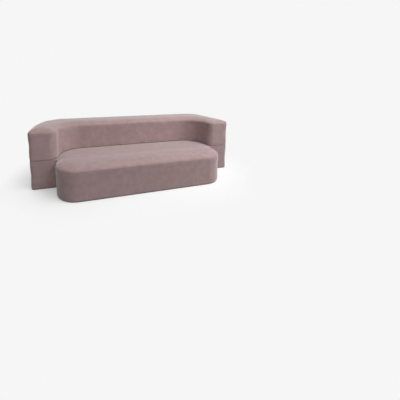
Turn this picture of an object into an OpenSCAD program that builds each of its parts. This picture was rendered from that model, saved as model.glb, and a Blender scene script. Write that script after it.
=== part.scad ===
// Folding sofa bed: a seat block with a protruding seat and a U-shaped back block that rests on it.
// The back block turns over forwards on two sewn fabric hinges at the arm fronts and lies on the
// floor, where the seat fills its hollow, so both blocks make one flat mattress.
// +X is to the right seen from the front, the front faces -Y, and the floor is Z = 0.
// The origin is the middle of the footprint.

/* [Blocks] */
// Width over both arms
sofa_w = 2000; // [1600:10:2400]
// Depth of each block from the arm fronts to the rear
block_d = 700; // [620:5:900]
// Height of each block, which is also the height of the bed
block_h = 260; // [200:5:340]
// Width of each arm
arm_w = 230; // [170:5:330]
// Depth of the hollow between the arms
hollow_d = 290; // [280:5:400]

/* [Corners and edges] */
// Radius of the rear corners in plan
outer_corner_r = 220; // [120:5:260]
// Radius of the hollow's corners in plan
hollow_corner_r = 200; // [100:5:220]
// Radius of the upright edges at the arm fronts
arm_corner_r = 32; // [30:1:36]
// Radius in the corner where the seat leaves the shoulders
notch_r = 8; // [4:1:12]
// Radius of the top edges
top_edge_r = 26; // [12:1:28]
// Radius of the edges that meet where the blocks fold
fold_edge_r = 15; // [8:1:17]
// Radius of the edges at the floor
floor_edge_r = 14; // [6:1:20]

/* [Fits] */
// Clearance round the seat when it fills the hollow
seat_gap = 6; // [3:0.5:12]
// Gap between the blocks, which holds the folded hinge cloth
fold_gap = 3; // [2.8:0.1:6]
// Clearance between the padded bands and the foam
foam_ease = 0.5; // [0.3:0.1:0.9]

/* [Covers] */
// Thickness of the padded top covers
top_cover_t = 30; // [29:1:40]
// Thickness of the padded cover under the back block
under_cover_t = 18; // [18:1:30]
// Thickness of the floor panel
floor_panel_t = 3; // [2:0.5:5]
// Thickness of the padded side bands
band_t = 14; // [14:0.5:20]
// How much the top covers swell in the middle
crown = 9; // [0:1:20]
// How much the side bands draw in between their seams
side_draw = 3; // [0:0.5:6]

/* [Foam] */
// Thickness of the soft foam layer on the sleeping side
comfort_t = 50; // [30:5:80]

/* [Zips] */
// Height of the zip opening between the bands
zip_h = 24; // [22:1:30]
// How far the coil lies behind the block's face
zip_depth = 9; // [9:0.5:10]
// Thickness of the zip tape
tape_t = 1.2; // [0.8:0.1:1.6]
// Height of the zip coil
coil_h = 6; // [4:0.5:6]
// Thickness of the zip coil
coil_t = 2; // [1.5:0.1:2]
// How much the bands draw in beside the zip
zip_draw = 4; // [2:0.5:5]
// Thickness of the folded lip over the zip
lip_t = 5; // [3.5:0.5:5]
// How far the lip's face lies behind the block's face
lip_depth = 1.5; // [0.5:0.5:2]
// Length of the slider
slider_l = 13; // [10:1:20]
// Height of the slider
slider_h = 9; // [9:0.5:10]
// Wall of the slider's plate and its lugs
slider_t = 1.6; // [1.2:0.1:1.6]
// Running clearance of the slider
slider_ease = 0.4; // [0.3:0.1:0.5]
// Radius of the pull's pin
pull_pin_r = 0.9; // [0.7:0.1:1]
// Radial clearance of the pull on its pin
pull_ease = 0.06; // [0.03:0.01:0.09]
// Wall round the pull's eye
pull_wall = 1; // [0.8:0.1:1]
// Length of the pull from its pin
pull_l = 28; // [20:1:40]
// Height of the pull's blade
pull_h = 7; // [5:0.5:7.5]
// Height of the pull's eye
pull_eye_h = 3.6; // [3:0.1:3.6]
// Thickness of the pull
pull_t = 1.6; // [1.2:0.1:1.8]

/* [Hinge cloth] */
// Thickness of the hinge cloth
hinge_t = 1; // [0.8:0.05:1]
// Depth of the cloth sewn to each block
hinge_d = 52; // [30:1:90]
// Clearance under the base's hinge cloth
hinge_ease = 0.3; // [0.2:0.1:0.4]
// Distance from the hinge cloth to the arm's sides
hinge_side = 42; // [40:1:60]

/* [Hidden] */

// Plan of the blocks
tongue_d = hollow_d + fold_gap - seat_gap;
footprint_d = block_d + tongue_d;
half_w = sofa_w / 2;
front_y = -footprint_d / 2 + tongue_d;
rear_y = footprint_d / 2;
tip_y = -footprint_d / 2;
hollow_y = front_y + hollow_d;
hollow_half_w = half_w - arm_w;
seat_half_w = hollow_half_w - seat_gap;
seat_corner_r = hollow_corner_r - seat_gap;

// Levels of the blocks
back_z = block_h + fold_gap;
base_cover_z = block_h - top_cover_t;
back_cover_z = back_z + block_h - top_cover_t;
under_cover_z = back_z + under_cover_t;
base_zip_z = block_h / 2;
back_zip_z = back_z + block_h / 2;

// Steps of the round corners and of the straight runs between them
corner_steps = 6;
small_steps = 3;
notch_steps = 2;
notch_side_steps = 1;
side_steps = 2;
rear_steps = 8;
arm_rows = 4;
edge_steps = 3;
round_steps = 32;
overrun = 20;

// Shares of the edge radius: full where an edge is free, less where the blocks meet
full_share = 1;
fold_share = fold_edge_r / top_edge_r;

// Each corner is its centre, radius, first angle, turn, arc steps, points on the run after it,
// and the share of the edge radius
shell_corners = [
    [half_w - arm_corner_r, front_y + arm_corner_r, arm_corner_r, -90, 90,
        small_steps, side_steps, fold_share],
    [half_w - outer_corner_r, rear_y - outer_corner_r, outer_corner_r, 0, 90,
        corner_steps, rear_steps, fold_share],
    [outer_corner_r - half_w, rear_y - outer_corner_r, outer_corner_r, 90, 90,
        corner_steps, side_steps, fold_share],
    [arm_corner_r - half_w, front_y + arm_corner_r, arm_corner_r, 180, 90,
        small_steps, arm_rows - 1, fold_share]];
seat_corners = [
    [-seat_half_w - notch_r, front_y - notch_r, notch_r, 90, -90,
        notch_steps, notch_side_steps, fold_share],
    [seat_corner_r - seat_half_w, tip_y + seat_corner_r, seat_corner_r, 180, 90,
        corner_steps, rear_steps, full_share],
    [seat_half_w - seat_corner_r, tip_y + seat_corner_r, seat_corner_r, 270, 90,
        corner_steps, notch_side_steps, full_share],
    [seat_half_w + notch_r, front_y - notch_r, notch_r, 180, -90,
        notch_steps, arm_rows - 1, fold_share]];
hollow_corners = [
    [-hollow_half_w - arm_corner_r, front_y + arm_corner_r, arm_corner_r, 270, 90,
        small_steps, side_steps, full_share],
    [hollow_corner_r - hollow_half_w, hollow_y - hollow_corner_r, hollow_corner_r, 180, -90,
        corner_steps, rear_steps, full_share],
    [hollow_half_w - hollow_corner_r, hollow_y - hollow_corner_r, hollow_corner_r, 90, -90,
        corner_steps, side_steps, full_share],
    [hollow_half_w + arm_corner_r, front_y + arm_corner_r, arm_corner_r, 180, 90,
        small_steps, arm_rows - 1, full_share]];
base_corners = concat(shell_corners, seat_corners);
back_corners = concat([for (c = shell_corners) full_edge(c)], hollow_corners);

base_count = len(outline(base_corners, 0));
back_count = len(outline(back_corners, 0));

// First and last station of the rear bands along an outline
rear_from = small_steps;
rear_to = rear_from + 2 * (side_steps + 1) + 2 * corner_steps + rear_steps + 1;

function full_edge(c) = [c[0], c[1], c[2], c[3], c[4], c[5], c[6], full_share];

// A point of a corner: inset moves it inwards, share is how far along the arc it lies
function corner_point(c, share, inset) =
    let (turn = c[3] + c[4] * share, r = c[2] - sign(c[4]) * inset)
    [c[0] + r * cos(turn), c[1] + r * sin(turn)];

// A level is an inset, an inset times the edge share, a height and a drop times the edge share
function level_point(c, share, level) =
    let (p = corner_point(c, share, level[0] + level[1] * c[7]))
    [p[0], p[1], level[2] - level[3] * c[7]];

function level_ring(corners, level) = [for (i = [0:len(corners) - 1])
    let (c = corners[i], next = corners[(i + 1) % len(corners)],
        from = level_point(c, 1, level), to = level_point(next, 0, level))
    each concat([for (s = [0:c[5]]) level_point(c, s / c[5], level)],
        [for (s = [1:1:c[6]]) from + (to - from) * s / (c[6] + 1)])];

function outline(corners, inset) = [for (p = level_ring(corners, [inset, 0, 0, 0])) [p[0], p[1]]];

// Levels of a rounded edge from its foot to its top
function edge_levels(r, z) = [for (s = [0:edge_steps])
    let (turn = 90 * s / edge_steps) [0, r * (1 - cos(turn)), z, r * (1 - sin(turn))]];

// Two triangles for each side of two rings of n points that start at points a and b
function ring_faces(a, b, n) = [for (i = [0:n - 1]) let (j = (i + 1) % n)
    each [[a + i, b + i, b + j], [a + i, b + j, a + j]]];

function flip(faces) = [for (f = faces) [f[2], f[1], f[0]]];

// Crown of the seat, which dies out where the back block rests
function seat_crown(p) =
    let (u = p[0] / crown_half_w, v = (p[1] - (tip_y + hollow_y) / 2) / ((hollow_y - tip_y) / 2))
    crown * max(0, 1 - u * u) * max(0, 1 - v * v);

crown_half_w = hollow_half_w - arm_w / arm_rows;
seat_ring_shares = [0.88, 0.72, 0.52, 0.3];
seat_centre = [0, front_y + seat_corner_r / 2];

// Top cover of the seat block: rounded edge rings, then rings that shrink to a centre
module seat_top_solid() {
    n = base_count;
    rings = concat([level_ring(base_corners, [0, 0, base_cover_z, 0])],
        [for (level = edge_levels(top_edge_r, block_h)) level_ring(base_corners, level)]);
    rim = rings[len(rings) - 1];
    inner = [for (share = seat_ring_shares) [for (p = rim)
        let (q = seat_centre + ([p[0], p[1]] - seat_centre) * share)
        [q[0], q[1], block_h + seat_crown(q)]]];
    all_rings = concat(rings, inner);
    count = len(all_rings);
    top = [seat_centre[0], seat_centre[1], block_h + seat_crown(seat_centre)];
    foot = [seat_centre[0], seat_centre[1], base_cover_z];
    points = concat([for (r = all_rings) each r], [top, foot]);
    faces = concat([for (k = [0:count - 2]) each ring_faces(k * n, (k + 1) * n, n)],
        [for (i = [0:n - 1]) [(count - 1) * n + i, count * n, (count - 1) * n + (i + 1) % n]],
        [for (i = [0:n - 1]) [i, (i + 1) % n, count * n + 1]]);
    polyhedron(points = points, faces = faces, convexity = 4);
}

// Point number of row i, step k of the grid that spans a U-shaped ring from its outer side
// (k = 0) to its inner side (k = arm_rows); first is the ring's first point and extra the first
// point of the grid's own middle points
function grid_index(i, k, path, first, extra) =
    k == 0 ? first + i :
    k == arm_rows ? first + path + arm_rows - 1 + path - 1 - i :
    i == 0 ? first + 2 * path + arm_rows - 1 + arm_rows - 1 - k :
    i == path - 1 ? first + path + k - 1 :
    extra + (i - 1) * (arm_rows - 1) + k - 1;

function grid_points(ring, path, swell) = [for (i = [1:path - 2]) for (k = [1:arm_rows - 1])
    let (outer = ring[i], inner = ring[path + arm_rows - 1 + path - 1 - i], share = k / arm_rows,
        fade = min(1, i / small_steps, (path - 1 - i) / small_steps))
    outer + (inner - outer) * share + [0, 0, swell * 4 * share * (1 - share) * fade]];

function grid_faces(path, first, extra) = [for (i = [0:path - 2]) for (k = [0:arm_rows - 1])
    let (a = grid_index(i, k, path, first, extra), b = grid_index(i + 1, k, path, first, extra),
        c = grid_index(i + 1, k + 1, path, first, extra), d = grid_index(i, k + 1, path, first, extra))
    each [[a, c, b], [a, d, c]]];

// U-shaped padded cover: rings from its foot to its top with a grid over each end
module u_cover_solid(rings, low_swell, high_swell) {
    n = back_count;
    path = (n - 2 * (arm_rows - 1)) / 2;
    last = len(rings) - 1;
    low = grid_points(rings[0], path, -low_swell);
    high = grid_points(rings[last], path, high_swell);
    points = concat([for (r = rings) each r], low, high);
    faces = concat([for (k = [0:last - 1]) each ring_faces(k * n, (k + 1) * n, n)],
        flip(grid_faces(path, 0, len(rings) * n)),
        grid_faces(path, last * n, len(rings) * n + len(low)));
    polyhedron(points = points, faces = faces, convexity = 4);
}

// Padded band between stations a and b of an outline. Its levels run from the top to the bottom.
module band_solid(corners, n, a, b, levels) {
    rings = concat([for (level = levels) level_ring(corners, [level[0], 0, level[1], 0])],
        [level_ring(corners, [band_t, 0, levels[len(levels) - 1][1], 0]),
        level_ring(corners, [band_t, 0, levels[0][1], 0])]);
    k = len(rings);
    low = k - 2;
    high = k - 1;
    split = floor((k - 2) / 2);
    points = [for (i = [a:b]) for (r = rings) r[i % n]];
    end = (b - a) * k;
    cap = concat([for (j = [0:split - 1]) [j, j + 1, high]], [[split, low, high]],
        [for (j = [split:1:k - 4]) [j, j + 1, low]]);
    faces = concat([for (i = [0:b - a - 1]) each ring_faces(i * k, (i + 1) * k, k)],
        cap, [for (f = flip(cap)) [f[0] + end, f[1] + end, f[2] + end]]);
    polyhedron(points = points, faces = faces, convexity = 4);
}

// Levels of the bands, each an inset and a height, from the top to the bottom
floor_turn = asin(1 - floor_panel_t / floor_edge_r);
floor_levels = [for (s = [0:2]) let (turn = floor_turn * s / 2)
    [floor_edge_r * (1 - cos(turn)), floor_edge_r * (1 - sin(turn))]];
floor_panel_inset = floor_edge_r * (1 - cos(floor_turn));
function middle(low, high, draw) = [draw, (low + high) / 2];

module base_front_band() {
    levels = concat([[0, base_cover_z], middle(floor_edge_r, base_cover_z, side_draw)], floor_levels);
    band_solid(base_corners, base_count, rear_to, base_count + rear_from, levels);
}

module base_rear_upper_band() {
    foot = base_zip_z + zip_h / 2;
    levels = [[0, base_cover_z], middle(foot, base_cover_z, zip_draw / 4), [zip_draw, foot]];
    band_solid(base_corners, base_count, rear_from, rear_to, levels);
}

module base_rear_lower_band() {
    top = base_zip_z - zip_h / 2;
    levels = concat([[zip_draw, top], middle(floor_edge_r, top, zip_draw / 4)], floor_levels);
    band_solid(base_corners, base_count, rear_from, rear_to, levels);
}

module back_inner_band() {
    levels = [[0, back_cover_z], middle(under_cover_z, back_cover_z, side_draw), [0, under_cover_z]];
    band_solid(back_corners, back_count, rear_to, back_count + rear_from, levels);
}

module back_rear_upper_band() {
    foot = back_zip_z + zip_h / 2;
    levels = [[0, back_cover_z], middle(foot, back_cover_z, zip_draw / 4), [zip_draw, foot]];
    band_solid(back_corners, back_count, rear_from, rear_to, levels);
}

module back_rear_lower_band() {
    top = back_zip_z - zip_h / 2;
    levels = [[zip_draw, top], middle(under_cover_z, top, zip_draw / 4), [0, under_cover_z]];
    band_solid(back_corners, back_count, rear_from, rear_to, levels);
}

// Foam block with an outline's plan
module foam(corners, low, high) {
    translate([0, 0, low])
        linear_extrude(high - low)
            polygon(outline(corners, band_t + foam_ease));
}

// Strip round the sides and the rear, between two insets from the face
module rear_strip(depth, thickness, low, height) {
    translate([0, 0, low])
        linear_extrude(height)
            difference() {
                polygon(outline(shell_corners, depth));
                polygon(outline(shell_corners, depth + thickness));
                translate([-half_w - overrun, front_y - overrun])
                    square([sofa_w + 2 * overrun, arm_corner_r + overrun]);
            }
}

module zip_tape(z) {
    rear_strip(zip_depth + coil_t, tape_t, z - zip_h / 2, zip_h);
}

module zip_coil(z) {
    rear_strip(zip_depth, coil_t, z - coil_h / 2, coil_h);
}

// The slider: it rides over the coil, and two lugs hold the pull's pin
slider_x = half_w - outer_corner_r - slider_l;
plate_depth = zip_depth - slider_ease - slider_t;
lip_h = (zip_h - slider_h) / 2 - slider_ease;
pin_depth = plate_depth - pull_pin_r - pull_ease - pull_wall - slider_ease;
lug_ease = 0.2;
lug_t = 1.2;

module zip_lip(z) {
    rear_strip(lip_depth, lip_t, z, lip_h);
}

module rear_box(x, depth, z, size) {
    translate([x - size[0] / 2, rear_y - depth - size[1], z - size[2] / 2])
        cube(size);
}

module zip_slider(z) {
    flange_h = slider_h / 2 - coil_h / 2 - slider_ease;
    lug_d = plate_depth - pin_depth + pull_pin_r + lug_t;
    lug_z = pull_eye_h / 2 + lug_ease + lug_t / 2;
    rear_box(slider_x, plate_depth, z, [slider_l, slider_t, slider_h]);
    for (side = [-1, 1]) {
        rear_box(slider_x, zip_depth - slider_ease, z + side * (slider_h - flange_h) / 2,
            [slider_l, coil_t, flange_h]);
        rear_box(slider_x, plate_depth - lug_d, z + side * lug_z, [2 * (pull_pin_r + lug_t), lug_d, lug_t]);
    }
    translate([slider_x, rear_y - pin_depth, z - lug_z])
        cylinder(h = 2 * lug_z, r = pull_pin_r, $fn = round_steps);
}

module zip_pull(z) {
    eye_r = pull_pin_r + pull_ease + pull_wall;
    blade_from = eye_r + lug_t + slider_ease;
    translate([slider_x, rear_y - pin_depth, z])
        difference() {
            union() {
                translate([0, 0, -pull_eye_h / 2])
                    cylinder(h = pull_eye_h, r = eye_r, $fn = round_steps);
                translate([-blade_from - eye_r, -pull_t / 2, -pull_eye_h / 2])
                    cube([blade_from + eye_r, pull_t, pull_eye_h]);
                translate([-pull_l + pull_h / 2, -pull_t / 2, -pull_h / 2])
                    cube([pull_l - pull_h / 2 - blade_from, pull_t, pull_h]);
                translate([-pull_l + pull_h / 2, pull_t / 2, 0])
                    rotate([90, 0, 0])
                        cylinder(h = pull_t, r = pull_h / 2, $fn = round_steps);
            }
            translate([0, 0, -pull_eye_h])
                cylinder(h = 2 * pull_eye_h, r = pull_pin_r + pull_ease, $fn = round_steps);
        }
}

// Hinge cloth folded in the gap over each shoulder
module hinge_leaf(side, z) {
    leaf_w = arm_w - 2 * hinge_side;
    translate([side * (half_w - arm_w / 2) - leaf_w / 2, front_y, z])
        cube([leaf_w, hinge_d, hinge_t]);
}

module base_foam_core() {
    color("#d9d2c0") foam(base_corners, floor_panel_t, base_cover_z - comfort_t);
}

module base_comfort_foam() {
    color("#efe9d8") foam(base_corners, base_cover_z - comfort_t, base_cover_z);
}

module base_top_cover() {
    color("#b0a09f") seat_top_solid();
}

module base_front_cover() {
    color("#978486") base_front_band();
}

module base_rear_cover_upper() {
    color("#8b7678") base_rear_upper_band();
}

module base_rear_cover_lower() {
    color("#8b7678") base_rear_lower_band();
}

module base_floor_panel() {
    color("#4c4446")
        linear_extrude(floor_panel_t)
            polygon(outline(base_corners, floor_panel_inset));
}

module base_zip_tape() {
    color("#6e5b5e") zip_tape(base_zip_z);
}

module base_zip_coil() {
    color("#5d4c50") zip_coil(base_zip_z);
}

module base_zip_lip() {
    color("#8b7678") zip_lip(base_zip_z + zip_h / 2 - lip_h);
}

module base_zip_slider() {
    color("#7a6a6c") zip_slider(base_zip_z);
}

module base_zip_pull() {
    color("#7a6a6c") zip_pull(base_zip_z);
}

module back_foam_core() {
    color("#d9d2c0") foam(back_corners, under_cover_z + comfort_t, back_cover_z);
}

module back_comfort_foam() {
    color("#efe9d8") foam(back_corners, under_cover_z, under_cover_z + comfort_t);
}

module back_top_cover() {
    rings = concat([level_ring(back_corners, [0, 0, back_cover_z, 0])],
        [for (level = edge_levels(top_edge_r, back_z + block_h)) level_ring(back_corners, level)]);
    color("#b0a09f") u_cover_solid(rings, 0, crown);
}

module back_inner_cover() {
    color("#978486") back_inner_band();
}

module back_rear_cover_upper() {
    color("#8b7678") back_rear_upper_band();
}

module back_rear_cover_lower() {
    color("#8b7678") back_rear_lower_band();
}

module back_underside_cover() {
    levels = [for (s = [edge_steps:-1:0]) let (turn = 90 * s / edge_steps)
        [fold_edge_r * (1 - cos(turn)), 0, back_z + fold_edge_r * (1 - sin(turn)), 0]];
    rings = concat([for (level = levels) level_ring(back_corners, level)],
        [level_ring(back_corners, [0, 0, under_cover_z, 0])]);
    color("#a39293") u_cover_solid(rings, 0, 0);
}

module back_zip_tape() {
    color("#6e5b5e") zip_tape(back_zip_z);
}

module back_zip_coil() {
    color("#5d4c50") zip_coil(back_zip_z);
}

module back_zip_lip() {
    color("#8b7678") zip_lip(back_zip_z - zip_h / 2);
}

module back_zip_slider() {
    color("#7a6a6c") zip_slider(back_zip_z);
}

module back_zip_pull() {
    color("#7a6a6c") zip_pull(back_zip_z);
}

module left_hinge_base_leaf() {
    color("#978486") hinge_leaf(-1, block_h + hinge_ease);
}

module right_hinge_base_leaf() {
    color("#978486") hinge_leaf(1, block_h + hinge_ease);
}

module left_hinge_back_leaf() {
    color("#978486") hinge_leaf(-1, back_z - hinge_t);
}

module right_hinge_back_leaf() {
    color("#978486") hinge_leaf(1, back_z - hinge_t);
}

base_foam_core();
base_comfort_foam();
base_top_cover();
base_front_cover();
base_rear_cover_upper();
base_rear_cover_lower();
base_floor_panel();
base_zip_tape();
base_zip_coil();
base_zip_lip();
base_zip_slider();
base_zip_pull();
back_foam_core();
back_comfort_foam();
back_top_cover();
back_inner_cover();
back_rear_cover_upper();
back_rear_cover_lower();
back_underside_cover();
back_zip_tape();
back_zip_coil();
back_zip_lip();
back_zip_slider();
back_zip_pull();
left_hinge_base_leaf();
right_hinge_base_leaf();
left_hinge_back_leaf();
right_hinge_back_leaf();
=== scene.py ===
"""Folding sofa bed: soft covers, zips, hinge cloths, floor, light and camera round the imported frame."""
import math

import bmesh
import bpy
import numpy as np
from mathutils import Matrix, Vector, noise
from mathutils.geometry import delaunay_2d_cdt


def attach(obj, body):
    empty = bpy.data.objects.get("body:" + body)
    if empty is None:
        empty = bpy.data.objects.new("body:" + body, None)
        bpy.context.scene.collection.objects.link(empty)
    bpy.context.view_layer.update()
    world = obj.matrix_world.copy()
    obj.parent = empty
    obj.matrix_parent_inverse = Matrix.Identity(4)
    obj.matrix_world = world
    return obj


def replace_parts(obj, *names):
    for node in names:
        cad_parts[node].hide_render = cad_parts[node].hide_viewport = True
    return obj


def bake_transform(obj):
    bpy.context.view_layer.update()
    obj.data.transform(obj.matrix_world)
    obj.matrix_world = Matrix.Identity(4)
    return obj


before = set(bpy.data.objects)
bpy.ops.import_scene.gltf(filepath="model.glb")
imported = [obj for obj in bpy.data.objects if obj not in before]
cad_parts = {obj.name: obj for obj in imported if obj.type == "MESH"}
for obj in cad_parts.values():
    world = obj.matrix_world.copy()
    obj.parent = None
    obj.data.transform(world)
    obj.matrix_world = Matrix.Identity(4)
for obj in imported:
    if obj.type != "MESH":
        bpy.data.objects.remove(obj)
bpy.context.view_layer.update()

MM = 0.001

# Plan of the blocks, as the frame has it
SOFA_W = 2000 * MM
BLOCK_D = 700 * MM
BLOCK_H = 260 * MM
ARM_W = 230 * MM
HOLLOW_D = 290 * MM
OUTER_CORNER_R = 220 * MM
HOLLOW_CORNER_R = 200 * MM
ARM_CORNER_R = 32 * MM
# The stuffed arm fronts are softer at the hollow than the foam's own corner
INNER_CORNER_R = 54 * MM
NOTCH_R = 8 * MM
TOP_EDGE_R = 26 * MM
# The edges that meet at the fold are flat: deep, and low
FOLD_EDGE_R = 20 * MM
FOLD_EDGE_H = 4 * MM
UNDER_EDGE_R = 16 * MM
UNDER_EDGE_H = 6 * MM
FLOOR_EDGE_R = 14 * MM
SEAT_GAP = 6 * MM
FOLD_GAP = 3 * MM
PANEL_T = 3 * MM
TOP_COVER_T = 30 * MM
UNDER_COVER_T = 18 * MM
SIDE_DRAW = 3 * MM
ZIP_H = 24 * MM
ZIP_DRAW = 4 * MM
ZIP_DEPTH = 9 * MM

TONGUE_D = HOLLOW_D + FOLD_GAP - SEAT_GAP
HALF_W = SOFA_W / 2
TIP_Y = -(BLOCK_D + TONGUE_D) / 2
REAR_Y = -TIP_Y
FRONT_Y = TIP_Y + TONGUE_D
HOLLOW_Y = FRONT_Y + HOLLOW_D
HOLLOW_HALF_W = HALF_W - ARM_W
SEAT_HALF_W = HOLLOW_HALF_W - SEAT_GAP
SEAT_CORNER_R = HOLLOW_CORNER_R - SEAT_GAP
BACK_Z = BLOCK_H + FOLD_GAP
BACK_TOP = BACK_Z + BLOCK_H
BASE_ZIP_Z = BLOCK_H / 2
BACK_ZIP_Z = BACK_Z + BLOCK_H / 2

# Spacing of the cover's mesh before it is subdivided
CELL = 13 * MM
# Least number of steps round a small corner
LEAST_ARC = 4
# Share of a cell that a cap's lattice keeps clear of its ring
CAP_MARGIN = 0.6
CAP_MERGE = 1e-7
# Kind of triangulation that fills only the inside of a ring
INSIDE_ONLY = 1
# Greatest bend, in radians, between two triangles that are joined to a square
JOIN_BEND = 0.7
MERGE = 0.01 * MM
# Keeps a division by a length clear of zero
TINY = 1e-9

FOLD_SHARE = FOLD_EDGE_R / TOP_EDGE_R
# Power of the edge share that gives the fold's edges their height
DROP_POWER = math.log(FOLD_EDGE_H / TOP_EDGE_R) / math.log(FOLD_SHARE)


def corner(x, y, radius, start, turn, share=1.0):
    """A rounded corner of a block's plan, in degrees; share is how much of the edge radius it keeps."""
    return x, y, radius, start, turn, share


SHELL = [
    corner(HALF_W - ARM_CORNER_R, FRONT_Y + ARM_CORNER_R, ARM_CORNER_R, -90, 90, FOLD_SHARE),
    corner(HALF_W - OUTER_CORNER_R, REAR_Y - OUTER_CORNER_R, OUTER_CORNER_R, 0, 90, FOLD_SHARE),
    corner(OUTER_CORNER_R - HALF_W, REAR_Y - OUTER_CORNER_R, OUTER_CORNER_R, 90, 90, FOLD_SHARE),
    corner(ARM_CORNER_R - HALF_W, FRONT_Y + ARM_CORNER_R, ARM_CORNER_R, 180, 90, FOLD_SHARE)]
TONGUE = [
    corner(-SEAT_HALF_W - NOTCH_R, FRONT_Y - NOTCH_R, NOTCH_R, 90, -90, FOLD_SHARE),
    corner(SEAT_CORNER_R - SEAT_HALF_W, TIP_Y + SEAT_CORNER_R, SEAT_CORNER_R, 180, 90),
    corner(SEAT_HALF_W - SEAT_CORNER_R, TIP_Y + SEAT_CORNER_R, SEAT_CORNER_R, 270, 90),
    corner(SEAT_HALF_W + NOTCH_R, FRONT_Y - NOTCH_R, NOTCH_R, 180, -90, FOLD_SHARE)]
HOLLOW = [
    corner(-HOLLOW_HALF_W - INNER_CORNER_R, FRONT_Y + INNER_CORNER_R, INNER_CORNER_R, 270, 90),
    corner(HOLLOW_CORNER_R - HOLLOW_HALF_W, HOLLOW_Y - HOLLOW_CORNER_R, HOLLOW_CORNER_R, 180, -90),
    corner(HOLLOW_HALF_W - HOLLOW_CORNER_R, HOLLOW_Y - HOLLOW_CORNER_R, HOLLOW_CORNER_R, 90, -90),
    corner(HOLLOW_HALF_W + INNER_CORNER_R, FRONT_Y + INNER_CORNER_R, INNER_CORNER_R, 180, 90)]
BASE_PLAN = SHELL + TONGUE
BACK_PLAN = [c[:5] + (1.0,) for c in SHELL] + HOLLOW


def trace(plan, spacing):
    """Stations along a plan: x, y, outward x and y, edge share, and whether the zip runs there."""
    rows = []
    for i, (x, y, radius, start, turn, share) in enumerate(plan):
        side = math.copysign(1, turn)
        arc = max(LEAST_ARC, round(radius * math.radians(abs(turn)) / spacing))
        # The zip runs from the end of the plan's first corner to the start of its fourth
        for s in range(arc + 1):
            a = math.radians(start + turn * s / arc)
            zipped = i in (1, 2) or (i == 0 and s == arc) or (i == 3 and s == 0)
            rows.append((x + radius * math.cos(a), y + radius * math.sin(a),
                         side * math.cos(a), side * math.sin(a), share, float(zipped)))
        here = rows[-1]
        nx, ny, nr, nstart, _, nshare = plan[(i + 1) % len(plan)]
        a = math.radians(nstart)
        there = (nx + nr * math.cos(a), ny + nr * math.sin(a))
        steps = max(1, round(math.dist(here[:2], there) / spacing))
        for s in range(1, steps):
            t = s / steps
            rows.append((here[0] + (there[0] - here[0]) * t, here[1] + (there[1] - here[1]) * t,
                         here[2], here[3], share + (nshare - share) * t, float(i < 3)))
    return np.array(rows)


def ring(path, inset, z, edge=0.0, drop=0.0):
    """The points of one level round a path; edge and drop are lengths that the edge share scales."""
    inward = inset + edge * path[:, 4]
    return np.column_stack([path[:, :2] - path[:, 2:4] * inward[:, None],
                            np.full(len(path), z) - drop * path[:, 4] ** DROP_POWER])


def new_piece(name, points, faces):
    """A smooth-shaded piece in the scene."""
    mesh = bpy.data.meshes.new(name)
    mesh.from_pydata([tuple(map(float, p)) for p in points], [], faces)
    mesh.validate()
    mesh.update()
    mesh.shade_smooth()
    piece = bpy.data.objects.new(name, mesh)
    bpy.context.scene.collection.objects.link(piece)
    return piece


def inside(points, loop):
    """Which points lie inside a closed loop, by counting crossings."""
    x, y = points[:, 0], points[:, 1]
    result = np.zeros(len(points), bool)
    for (x0, y0), (x1, y1) in zip(loop, np.roll(loop, -1, 0)):
        crosses = (y0 > y) != (y1 > y)
        at = x0 + (y - y0) * (x1 - x0) / np.where(y1 == y0, 1, y1 - y0)
        result ^= crosses & (x < at)
    return result


def distance_to(points, loop):
    """How far each point lies from a closed loop."""
    best = np.full(len(points), np.inf)
    for a, b in zip(loop, np.roll(loop, -1, 0)):
        d = b - a
        t = np.clip(((points - a) @ d) / max(float(d @ d), TINY), 0, 1)
        best = np.minimum(best, np.linalg.norm(points - a - t[:, None] * d, axis=1))
    return best


def cap(loop, spacing, first, extra, upwards):
    """Fills a ring with a square lattice. first is the ring's first index, extra the next free one."""
    lo, hi = loop.min(0), loop.max(0)
    xs = np.arange(-math.floor(-lo[0] / spacing), math.floor(hi[0] / spacing) + 1) * spacing
    ys = np.arange(math.ceil(lo[1] / spacing), math.floor(hi[1] / spacing) + 1) * spacing
    grid = np.array([(x, y) for x in xs for y in ys])
    grid = grid[inside(grid, loop)]
    grid = grid[distance_to(grid, loop) > CAP_MARGIN * spacing]
    n = len(loop)
    every = np.vstack([loop, grid])
    verts, _, faces, origin, _, _ = delaunay_2d_cdt(
        [Vector(p) for p in every], [], [list(range(n))], INSIDE_ONLY, CAP_MERGE)
    number = [o[0] if o else -1 for o in origin]
    if len(verts) != len(every) or min(number) < 0:
        raise ValueError("the cap's ring crosses itself")
    index = [first + k if k < n else extra + k - n for k in number]
    made = [[index[v] for v in f] for f in faces]
    return grid, made if upwards else [f[::-1] for f in made]


def block(name, path, rings, gives, low_form, high_form):
    """A closed block of rings with a lattice over each end, and how far each of its points may move later.

    A form turns the places in a lattice into heights and gives."""
    n = len(path)
    points = [p for r in rings for p in r]
    give = [g for ring_gives in gives for g in ring_gives]
    faces = [[k * n + i, k * n + (i + 1) % n, (k + 1) * n + (i + 1) % n, (k + 1) * n + i]
             for k in range(len(rings) - 1) for i in range(n)]
    last = (len(rings) - 1) * n
    for form, start, rim, up in ((low_form, 0, rings[0], False), (high_form, last, rings[-1], True)):
        places, made = cap(rim[:, :2], CELL, start, len(points), up)
        heights, more = form(places)
        points += list(np.column_stack([places, heights]))
        give += list(more)
        faces += made
    piece = new_piece(name, points, faces)
    square_up(piece)
    return piece, np.array(give)


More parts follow.
